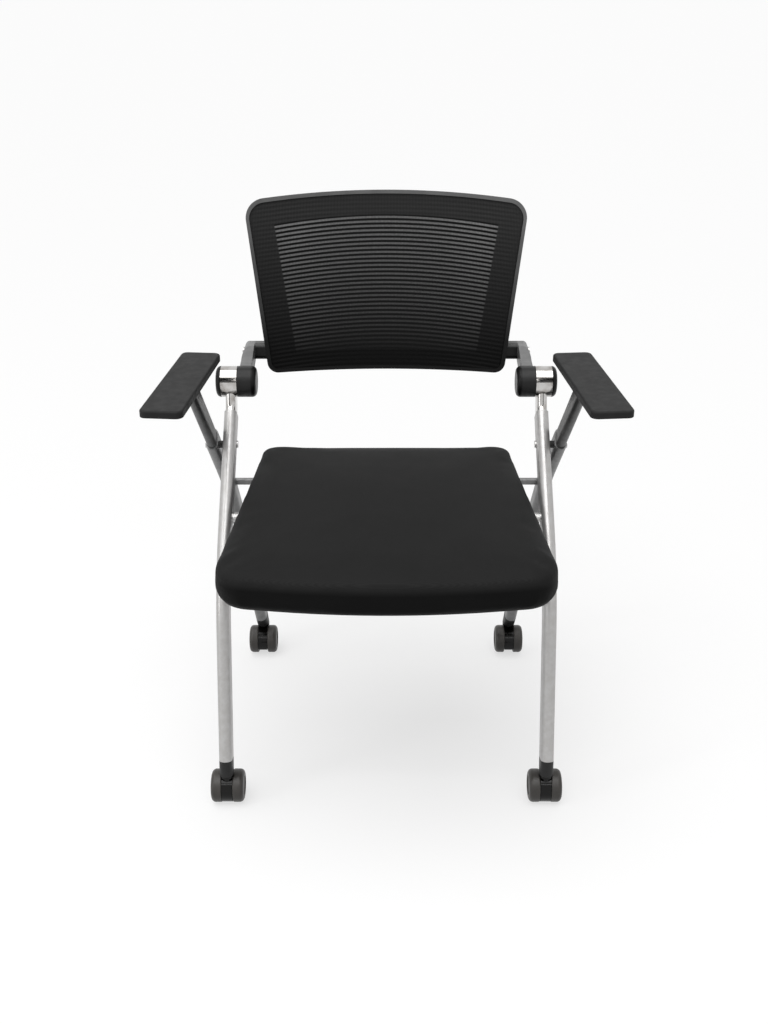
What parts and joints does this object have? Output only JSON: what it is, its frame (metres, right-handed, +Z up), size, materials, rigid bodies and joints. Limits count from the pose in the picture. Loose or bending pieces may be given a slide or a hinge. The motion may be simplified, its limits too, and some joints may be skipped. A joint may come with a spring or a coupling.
{
  "type": "nesting chair",
  "caption": "Mesh-back office armchair on casters: oval tube legs, padded seat that flips up so chairs nest, and a back that tilts on sprung hubs.",
  "frame": {"origin": "on the floor, under the middle of the chair", "axes": "+X to the sitter's left, +Y to the rear, +Z up; the sitter faces -Y"},
  "size_m": [0.6674, 0.6042, 0.8693],
  "materials": {
    "arm_pad": "soft-touch dark grey",
    "back_frame": "satin grey",
    "black_cap": "satin black",
    "black_plastic": "matte black",
    "black_steel": "matte black",
    "bracket": "satin grey-black",
    "bumper": "matte",
    "caster_body": "gloss black",
    "chrome": "polished",
    "grey_tube": "satin dark grey",
    "mesh": "knitted mesh, black with grey lines",
    "plywood": "raw",
    "rear_tube": "satin grey powder coat",
    "seat_cover": "close-woven black",
    "silver_tube": "satin silver powder coat",
    "steel": "zinc plated",
    "wheel": "grey-brown tread"
  },
  "bodies": {
    "frame": {"arm_pad_left": "arm_pad", "arm_pad_right": "arm_pad", "arm_pad_screws": "steel", "arm_plate_left": "black_steel", "arm_plate_right": "black_steel", "arm_post_left": "grey_tube", "arm_post_right": "grey_tube", "cross_bar": "rear_tube", "frame_bolts": "steel", "frame_nuts": "steel", "frame_spacers": "black_plastic", "front_leg_left": "silver_tube", "front_leg_plug_left": "black_plastic", "front_leg_plug_right": "black_plastic", "front_leg_right": "silver_tube", "hub_joint_left": "chrome", "hub_joint_right": "chrome", "hub_outer_cap_left": "black_cap", "hub_outer_cap_right": "black_cap", "hub_shaft_left": "steel", "hub_shaft_right": "steel", "hub_torsion_sleeve_left": "bumper", "hub_torsion_sleeve_right": "bumper", "rear_leg_left": "rear_tube", "rear_leg_plug_left": "black_plastic", "rear_leg_plug_right": "black_plastic", "rear_leg_right": "rear_tube", "seat_pivot_pins": "steel"},
    "back": {"back_bracket_left": "bracket", "back_bracket_right": "bracket", "back_frame": "back_frame", "back_mesh": "mesh", "bracket_screws": "steel", "hub_bushes": "black_plastic", "hub_inner_cap_left": "black_cap", "hub_inner_cap_right": "black_cap"},
    "seat": {"rest_bumpers": "bumper", "seat_board": "plywood", "seat_cushion": "seat_cover", "seat_rail_left": "black_steel", "seat_rail_right": "black_steel", "seat_screws": "steel", "seat_shell": "black_plastic"},
    "caster_front_left": {"caster_front_left_axle": "steel", "caster_front_left_body": "caster_body"},
    "caster_front_left_wheel_left": {"caster_front_left_wheel_left": "wheel"},
    "caster_front_left_wheel_right": {"caster_front_left_wheel_right": "wheel"},
    "caster_front_right": {"caster_front_right_axle": "steel", "caster_front_right_body": "caster_body"},
    "caster_front_right_wheel_left": {"caster_front_right_wheel_left": "wheel"},
    "caster_front_right_wheel_right": {"caster_front_right_wheel_right": "wheel"},
    "caster_rear_left": {"caster_rear_left_axle": "steel", "caster_rear_left_body": "caster_body"},
    "caster_rear_left_wheel_left": {"caster_rear_left_wheel_left": "wheel"},
    "caster_rear_left_wheel_right": {"caster_rear_left_wheel_right": "wheel"},
    "caster_rear_right": {"caster_rear_right_axle": "steel", "caster_rear_right_body": "caster_body"},
    "caster_rear_right_wheel_left": {"caster_rear_right_wheel_left": "wheel"},
    "caster_rear_right_wheel_right": {"caster_rear_right_wheel_right": "wheel"}
  },
  "joints": [
    {"name": "seat_flip", "type": "hinge", "parent": "frame", "child": "seat", "pos_m": [0, -0.0265, 0.422], "axis": [-1, 0, 0], "range_deg": [0, 78]},
    {"name": "back_tilt", "type": "hinge", "parent": "frame", "child": "back", "pos_m": [0, 0.1235, 0.593], "axis": [-1, 0, 0], "range_deg": [0, 12], "stiffness_Nm_per_rad": 170, "springref_deg": -2.86},
    {"name": "caster_front_left_swivel", "type": "hinge", "parent": "frame", "child": "caster_front_left", "pos_m": [0.251, -0.1955, 0], "axis": [0, 0, 1], "continuous": true},
    {"name": "caster_front_left_wheel_left_roll", "type": "hinge", "parent": "caster_front_left", "child": "caster_front_left_wheel_left", "pos_m": [0.251, -0.1865, 0.026], "axis": [1, 0, 0], "continuous": true},
    {"name": "caster_front_left_wheel_right_roll", "type": "hinge", "parent": "caster_front_left", "child": "caster_front_left_wheel_right", "pos_m": [0.251, -0.1865, 0.026], "axis": [1, 0, 0], "continuous": true},
    {"name": "caster_front_right_swivel", "type": "hinge", "parent": "frame", "child": "caster_front_right", "pos_m": [-0.251, -0.1955, 0], "axis": [0, 0, 1], "continuous": true},
    {"name": "caster_front_right_wheel_left_roll", "type": "hinge", "parent": "caster_front_right", "child": "caster_front_right_wheel_left", "pos_m": [-0.251, -0.1865, 0.026], "axis": [1, 0, 0], "continuous": true},
    {"name": "caster_front_right_wheel_right_roll", "type": "hinge", "parent": "caster_front_right", "child": "caster_front_right_wheel_right", "pos_m": [-0.251, -0.1865, 0.026], "axis": [1, 0, 0], "continuous": true},
    {"name": "caster_rear_left_swivel", "type": "hinge", "parent": "frame", "child": "caster_rear_left", "pos_m": [0.23469, 0.2615, 0], "axis": [0, 0, 1], "continuous": true},
    {"name": "caster_rear_left_wheel_left_roll", "type": "hinge", "parent": "caster_rear_left", "child": "caster_rear_left_wheel_left", "pos_m": [0.23469, 0.2525, 0.026], "axis": [1, 0, 0], "continuous": true},
    {"name": "caster_rear_left_wheel_right_roll", "type": "hinge", "parent": "caster_rear_left", "child": "caster_rear_left_wheel_right", "pos_m": [0.23469, 0.2525, 0.026], "axis": [1, 0, 0], "continuous": true},
    {"name": "caster_rear_right_swivel", "type": "hinge", "parent": "frame", "child": "caster_rear_right", "pos_m": [-0.23469, 0.2615, 0], "axis": [0, 0, 1], "continuous": true},
    {"name": "caster_rear_right_wheel_left_roll", "type": "hinge", "parent": "caster_rear_right", "child": "caster_rear_right_wheel_left", "pos_m": [-0.23469, 0.2525, 0.026], "axis": [1, 0, 0], "continuous": true},
    {"name": "caster_rear_right_wheel_right_roll", "type": "hinge", "parent": "caster_rear_right", "child": "caster_rear_right_wheel_right", "pos_m": [-0.23469, 0.2525, 0.026], "axis": [1, 0, 0], "continuous": true}
  ]
}
